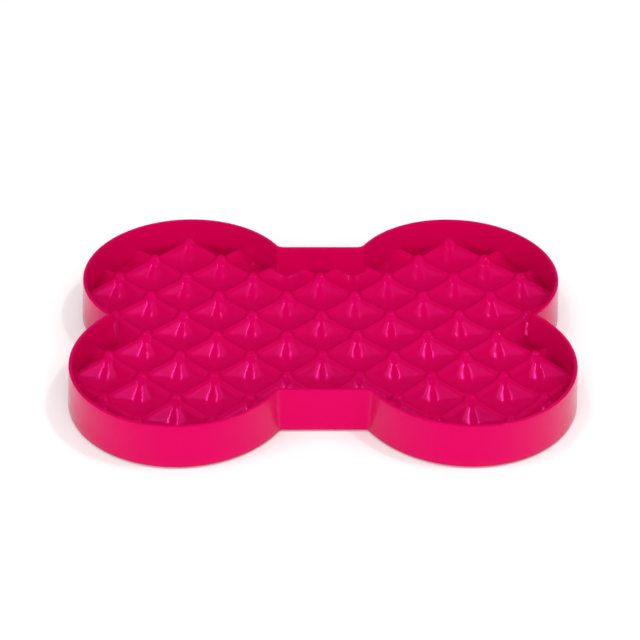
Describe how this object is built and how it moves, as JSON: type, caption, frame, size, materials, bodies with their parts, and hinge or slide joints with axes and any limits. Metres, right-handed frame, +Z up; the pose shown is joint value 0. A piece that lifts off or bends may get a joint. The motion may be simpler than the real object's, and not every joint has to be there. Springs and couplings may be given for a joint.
{
  "type": "lick mat",
  "caption": "Bone-shaped lick mat: a shallow tray with a raised wall and a floor of crossing ridges with a blunt peak at every crossing and a round bowl in every mesh, standing on press-in rubber feet.",
  "frame": {"origin": "on the surface the mat stands on, under the middle of its outline", "axes": "+X along the length of the bone, +Y from the front neck wall to the back one, +Z up"},
  "size_m": [0.29, 0.2164, 0.0273],
  "materials": {
    "tray_plastic": "satin gloss moulded polypropylene, bright pink",
    "foot_rubber": "matte moulded rubber, dark grey"
  },
  "bodies": {
    "root": {"bone_tray": "tray_plastic", "foot_front_left": "foot_rubber", "foot_front_right": "foot_rubber", "foot_back_left": "foot_rubber", "foot_back_right": "foot_rubber"}
  },
  "joints": []
}
